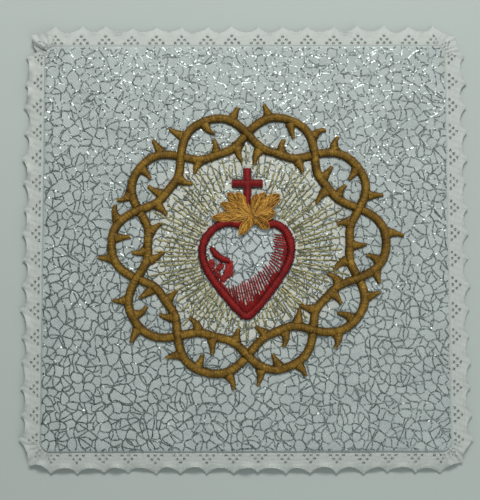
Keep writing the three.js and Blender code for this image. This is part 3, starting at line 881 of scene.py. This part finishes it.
def thorn_line(row, arc, index):
    """The middle line of one thorn, by the same rule as the part's source."""
    on_stem, side, places, leans = row
    turn = (arc + places[arc] / 100) / (2 * CROWN_WAVES)
    stem = (arc + 1) % 2 if on_stem == "outer" else arc % 2  # they change places from arc to arc
    if on_stem == "inner" and arc in SWAPPED_ARCS:
        side = -side
    step = 1e-3
    along = stem_line(stem, turn + step) - stem_line(stem, turn - step)
    along /= np.linalg.norm(along)
    heading = np.array([along[1], -along[0]]) * side
    bend = (THORN_BEND + THORN_BEND_SPREAD * uneven(index)) * 2 * side
    reach = THORN_LENGTH * (1 + THORN_LENGTH_SPREAD * uneven(index + 7)) / THORN_STEPS
    points = [stem_line(stem, turn)]
    for i in range(THORN_STEPS):
        angle = math.radians(leans[arc] * side + bend * ((i + 0.5) / THORN_STEPS - 0.5))
        points.append(points[-1] + rotated(heading, math.cos(angle), math.sin(angle)) * reach)
    return np.array(points)


def make_crown(material):
    stems = crown_lines()
    bundles = []
    for (middle, ahead, height, upper), other in zip(stems, stems[::-1]):
        shown = upper | (distance_to(middle, other[0]) > STEM_WIDTH / 2 - 0.1)
        width = STEM_WIDTH + STEM_GROWS
        bundles.append(satin(middle[shown], ahead[shown], width, height[shown], slant=0.3))
    for arc in range(2 * CROWN_WAVES):
        for i, row in enumerate(THORNS):
            line = thorn_line(row, arc, arc * len(THORNS) + i)
            middle, ahead, share = resample(smooth_line(line), THREAD_PITCH)
            seen = share > THORN_HIDDEN
            flare = (1 - share) ** THORN_FLARE
            width = THORN_TIP_WIDTH + (THORN_ROOT_WIDTH - THORN_TIP_WIDTH) * flare
            height = THORN_HEIGHT * (1 - THORN_FALL * share)
            bundles.append(satin(middle[seen], ahead[seen], width[seen] + THORN_GROWS, height[seen]))
    crown = thread_piece("crown_threads", bundles, material)
    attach(crown, "root")


def make_heart(material):
    """The heart's outline, the wound in it and the cross over it."""
    middle, ahead, _ = resample(smooth_line(HEART_LINE), THREAD_PITCH)
    bundles = [satin(middle, ahead, HEART_WIDTH, STITCH_HEIGHT, slant=-0.3, ragged=0.32)]

    middle, ahead, share = resample(smooth_line(WOUND), THREAD_PITCH)
    width = np.interp(share, np.linspace(0, 1, len(WOUND)), WOUND_WIDTHS)
    bundles.append(satin(middle, ahead, width, STITCH_HEIGHT))

    for start, end, width in (CROSS_UPRIGHT, CROSS_BAR):
        middle, ahead, _ = resample([start, end], THREAD_PITCH)
        taper = np.interp(middle[:, 1], *CROSS_TAPER)
        bundles.append(satin(middle, ahead, width * taper, STITCH_HEIGHT + 0.05, slant=0.0))
    red = thread_piece("red_satin", bundles, material)
    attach(red, "root")


# Single stitches on the cloth

SURFACE_DIP = 0.1  # how far the ends go into the cloth
# The darker ends are painted shade, where the stitches dip into the cloth
SURFACE_LOOK = (0.1, 0.6, 0.12)  # darker ends, middle tone and its spread

# Inner ends of the stitches inside the heart, from the lower left: x, y, and the direction in degrees
# in which they run out to its line
HATCH_END = [
    (-9.5, -13.9, -68), (-7.5, -15.9, -74), (-4.7, -15.6, -78), (-1.9, -14.5, -77), (2.0, -12.2, -73),
    (6.5, -9.2, -62), (9.3, -6.4, -45), (10.8, -1.9, -14), (11.2, 2.0, -8), (11.0, 5.2, -4),
]
HATCH_PITCH = 0.94
HATCH_RADIUS = 0.31
HATCH_LIFTS = (0.34, 0.24)  # of the long stitches, and of the short ones between them
HATCH_SEARCH = np.arange(1.0, 16.0, 0.1)  # lengths tried to find the heart's line

# Small patches of stitches under the wound: middle, reach, number of stitches
WOUND_PATCHES = [
    (-6.3, -7.4, 1.3, 70), (-6.6, -10.2, 1.8, 130), (-8.4, -12.4, 1.2, 50), (-13.5, -7.2, 1.4, 70),
    (-9.9, -8.2, 1.3, 60), (-12.0, -9.9, 0.9, 14), (-10.7, -11.7, 0.9, 14), (-9.9, -14.6, 0.8, 8),
]


def surface_threads(starts, ends, height_at, lift, radius, steps=5):
    """Thin threads that lie on the cloth from start to end, and dip in at both ends."""
    t = np.linspace(0, 1, steps)[None, :, None]
    flat = starts[:, None, :] * (1 - t) + ends[:, None, :] * t
    bend = np.sin(np.pi * t[..., 0])
    ground = height_at(flat.reshape(-1, 2)).reshape(flat.shape[:2])
    z = ground - SURFACE_DIP + (lift + SURFACE_DIP) * bend**0.4
    return with_height(flat, z), radius, *SURFACE_LOOK


def hatch_rows():
    """The rows of HATCH_END at an even pitch along a smooth line through them."""
    fine = smooth_line(HATCH_END)
    along = distances_along(fine[:, :2])
    return at_places(np.arange(0, along[-1], HATCH_PITCH), along, fine)


def make_hatching(material, height_at):
    """Single red stitches inside the heart's right and lower edge, and small patches under the wound."""
    rows = hatch_rows()
    way = directions(np.radians(rows[:, 2] + RNG.normal(0, 1.0, len(rows))))
    ray = rows[:, None, :2] + HATCH_SEARCH[None, :, None] * way[:, None]
    gap = distance_to(ray.reshape(-1, 2), heart_points(0.2)).reshape(ray.shape[:2])
    starts = rows[:, :2] + way * HATCH_SEARCH[gap.argmin(axis=1)][:, None]
    ends = rows[:, :2] + way * RNG.normal(0, 0.4, (len(rows), 1))
    half_way = (starts[1:] + starts[:-1]) / 2
    other = (ends[1:] + ends[:-1]) / 2
    short = half_way + (other - half_way) * RNG.uniform(0.25, 0.5, (len(half_way), 1))
    bundles = [
        surface_threads(*stitches, height_at, lift, HATCH_RADIUS, steps=8)
        for stitches, lift in zip(((starts, ends), (half_way, short)), HATCH_LIFTS)
    ]

    for x, y, reach, count in WOUND_PATCHES:
        out = directions(RNG.uniform(0, TURN, count))
        middle = np.array([x, y]) + out * reach * RNG.uniform(0, 1, (count, 1)) ** 0.5
        way = directions(math.radians(62) + RNG.normal(0, 0.3, count))
        half = way * RNG.uniform(0.4, 0.8, (count, 1))
        bundles.append(surface_threads(middle - half, middle + half, height_at, lift=0.45, radius=0.26))
    hatching = thread_piece("red_hatching", bundles, material)
    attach(hatching, "root")


# Rays

RAY_SEARCH = np.arange(6.0, 60.0, 0.4)  # places tried along a ray
RAY_CLEAR = 2.2  # from the middle of other stitching
RAY_STARTS = (0.2, 0.9)  # past what it meets inside, from and to
RAY_SHORTER = (3.6, 0.3)  # of even and odd rays before the crown
RAY_STITCH = (2.0, 3.0)
RAY_GAP = (-0.1, 0.12)
RAY_SCATTER = 0.08


def make_rays(material, height_at, crown_middles):
    """Running stitch from the heart to the crown."""
    flames = [resample([FLAME_ROOT, (x, y)], 0.8)[0] for x, y, _, _ in FLAMES]
    cross = [resample(limb[:2], 0.5)[0] for limb in (CROSS_UPRIGHT, CROSS_BAR)]
    blocked = np.concatenate([heart_points(0.5), *flames, *cross])
    starts, ends = [], []
    for i in range(RAY_COUNT):
        angle = TURN * (i + 0.25 * RNG.uniform(-1, 1)) / RAY_COUNT
        way = np.array([math.cos(angle), math.sin(angle)])
        line = RAY_CENTRE + RAY_SEARCH[:, None] * way
        inner = RAY_SEARCH[distance_to(line, blocked) < RAY_CLEAR]
        outer = RAY_SEARCH[distance_to(line, crown_middles) < RAY_CLEAR]
        at = inner.max() + RNG.uniform(*RAY_STARTS)
        last = outer.min() - RAY_SHORTER[i % 2] - RNG.uniform(0, 1.2)
        while at + 1.0 < last:
            stitch = min(RNG.uniform(*RAY_STITCH), last - at)
            starts.append(RAY_CENTRE + at * way + RNG.normal(0, RAY_SCATTER, 2))
            ends.append(RAY_CENTRE + (at + stitch) * way + RNG.normal(0, RAY_SCATTER, 2))
            at += stitch + RNG.uniform(*RAY_GAP)
    bundle = surface_threads(np.array(starts), np.array(ends), height_at, lift=0.36, radius=0.29)
    rays = thread_piece("ray_stitches", [bundle], material)
    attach(rays, "root")


# Flames: every tongue has strands, slanting stitches over them and a cord round its edge

FLAME_TOP = STITCH_BASE + STITCH_HEIGHT
TONGUE_STEP = 0.015  # each tongue's height over the one before

# Radius, darker ends as painted shade, middle tone and its spread
STRAND_LOOK = (0.21, 0.1, 0.42, 0.2)
SLANT_LOOK = (0.17, 0.1, 0.6, 0.25)
EDGE_LOOK = (0.19, 0.0, 0.6, 0.1)
ROOT_LOOK = (0.18, 0.1, 0.6, 0.2)


def tongue_line(row, lane, along_share):
    """Places in a tongue: lane is -1 to 1 across it, along_share is 0 at the root and 1 at its tip."""
    x, y, width, widest = row
    span = np.array([x, y]) - FLAME_ROOT
    side = np.array([-span[1], span[0]]) / np.linalg.norm(span)
    warp = math.log(0.5) / math.log(widest)
    swell = np.sin(np.pi * np.clip(along_share, 0.001, 0.999) ** warp) ** FLAME_BLUNT
    out = lane * (width / 2) * swell
    return FLAME_ROOT + along_share[..., None] * span + out[..., None] * side


def tongue_strands(row, length, step, pitch=0.28, outermost=0.95, shorter=0.1, ragged=0.12, rise=0.34):
    """Strands of uneven length that fill a tongue from its root, the outermost shorter."""
    count = int(row[2] / pitch)
    lane = np.linspace(-outermost, outermost, count)[:, None] + RNG.normal(0, 0.06, (count, 1))
    stop = 1.0 - shorter * np.abs(lane) ** 2 - RNG.uniform(0, ragged, (count, 1))
    share = np.linspace(0.0, 1, 12) * stop
    wave = 0.14 * np.sin(share * length * 1.7 + RNG.uniform(0, 6, (count, 1)))
    flat = tongue_line(row, np.clip(lane + wave, -1, 1), share)
    flat = flat + RNG.normal(0, 0.05, flat.shape)
    top = STITCH_HEIGHT + rise + step + RNG.normal(0, 0.04, (count, 1))
    end_dip = np.clip((stop - share) * length / 0.9, 0, 1) ** 0.5
    z = STITCH_BASE + top * (1 - 0.5 * lane**4) * (0.4 + 0.6 * end_dip)
    return with_height(flat, z), *STRAND_LOOK


def tongue_slants(row, length, step, pitch=0.8, outermost=0.75, half=1.3, rise=0.5):
    """Slanting stitches over the strands."""
    count = int(length / pitch)
    centre = RNG.uniform(0.25, 0.92, (count, 1))
    lane = RNG.uniform(-outermost, outermost, (count, 1))
    slope = np.where(lane > 0, 1.0, -1.0) * RNG.uniform(0.1, 0.5, (count, 1))
    t = np.linspace(-1, 1, 6)
    lanes = lane + slope * t
    flat = tongue_line(row, np.clip(lanes, -1, 1), centre + t * half / length)
    lift = rise + step - 0.25 * np.abs(lanes) ** 3 - 0.12 * t**2
    return with_height(flat, FLAME_TOP + lift), *SLANT_LOOK


def tongue_cord(row, step, count=40, lane=0.97, scatter=0.07, rise=0.15):
    """The paler cord round a tongue's edge, from one side of its root to the other."""
    place = np.linspace(-1, 1, count)
    share = 1.0 - np.abs(place) ** 1.4 * 0.8
    flat = tongue_line(row, np.sign(place) * lane, share)[None]
    flat = flat + RNG.normal(0, scatter, flat.shape)
    return with_height(flat, np.full((1, count), FLAME_TOP + rise + step)), *EDGE_LOOK


def root_stitches(count=40, scatter=1.2, half=1.2, rise=0.5):
    """Short stitches that cross at the root of the tongues."""
    way = directions(RNG.uniform(0, TURN, count))
    middle = FLAME_ROOT + RNG.normal(0, scatter, (count, 2))
    t = np.linspace(-1, 1, 5)
    flat = middle[:, None] + t[:, None] * way[:, None] * half
    z = FLAME_TOP + rise + RNG.normal(0, 0.06, (count, 1)) - 0.3 * t**2
    return with_height(flat, z), *ROOT_LOOK


def make_flames(material):
    bundles = []
    for order, row in enumerate(FLAMES):
        length = math.dist(row[:2], FLAME_ROOT)
        step = TONGUE_STEP * order
        bundles.append(tongue_strands(row, length, step))
        bundles.append(tongue_slants(row, length, step))
        bundles.append(tongue_cord(row, step))
    bundles.append(root_stitches())
    flames = thread_piece("flame_threads", bundles, material)
    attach(flames, "root")


# Light and floor, with places and sizes in metres

FLOOR_HALF = 2.0
ROOM_COLOUR, ROOM_STRENGTH = (0.86, 0.93, 0.92, 1), 0.31
LIGHTS = [  # name, place, size, watts, colour
    ("key", (0.03, 0.48, 0.52), (0.36, 0.16), 3.95, (1.0, 0.99, 0.96)),
    ("fill", (0.42, -0.46, 0.55), (0.6, 0.6), 1.6, (0.95, 1.0, 1.0)),
]


def area_light(name, location, size, watts, colour):
    """A light that shines on the pall's middle."""
    data = bpy.data.lights.new(name, "AREA")
    data.shape = "RECTANGLE"
    data.size, data.size_y = size
    data.energy = watts
    data.color = colour
    light = in_scene(name, data)
    light.location = location
    light.rotation_euler = (-Vector(location)).to_track_quat("-Z", "Y").to_euler()


def make_stage():
    nodes = Nodes("floor", roughness=0.9)
    material = nodes.finish(nodes.ramp(nodes.noise(scale=3.0), (0.3, 0.7), FLOOR))
    mesh = bpy.data.meshes.new("floor")
    corners = [(x * FLOOR_HALF, y * FLOOR_HALF, 0) for x, y in ((-1, -1), (1, -1), (1, 1), (-1, 1))]
    mesh.from_pydata(corners, [], [(0, 1, 2, 3)])
    mesh.materials.append(material)
    floor = in_scene("floor", mesh)
    world = bpy.data.worlds.new("world")
    world.use_nodes = True
    background = world.node_tree.nodes["Background"]
    background.inputs["Color"].default_value = ROOM_COLOUR
    background.inputs["Strength"].default_value = ROOM_STRENGTH
    scene.world = world
    scene.view_settings.view_transform = "Standard"
    for light in LIGHTS:
        area_light(*light)


# Assembly

def main():
    make_camera()
    make_stage()
    brocade = brocade_material()
    silver = silver_material()
    cotton = lace_material()
    bronze = thread_material("bronze_thread", BRONZE, roughness=0.42)
    red = thread_material("red_thread", RED)
    gold = thread_material("gold_thread", GOLD)
    ray_gold = thread_material("ray_thread", RAY_GOLD)

    node_materials = {
        "crown_of_thorns": bronze, "heart": red, "wound": red, "cross": red, "flames": gold,
    }
    for node, material in node_materials.items():
        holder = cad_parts[node]
        holder.data.materials.clear()
        holder.data.materials.append(material)

    crown_middles = np.concatenate([stem[0] for stem in crown_lines()])[::3]
    stitched = np.concatenate([crown_middles, heart_points(1.2)])

    def height_at(points):
        return cloth_height(np.asarray(points), stitched)

    make_panel(brocade, stitched)
    make_silver(silver, height_at)
    make_lace(cotton)
    make_crown(bronze)
    make_heart(red)
    make_hatching(red, height_at)
    make_flames(gold)
    make_rays(ray_gold, height_at, crown_middles)


main()
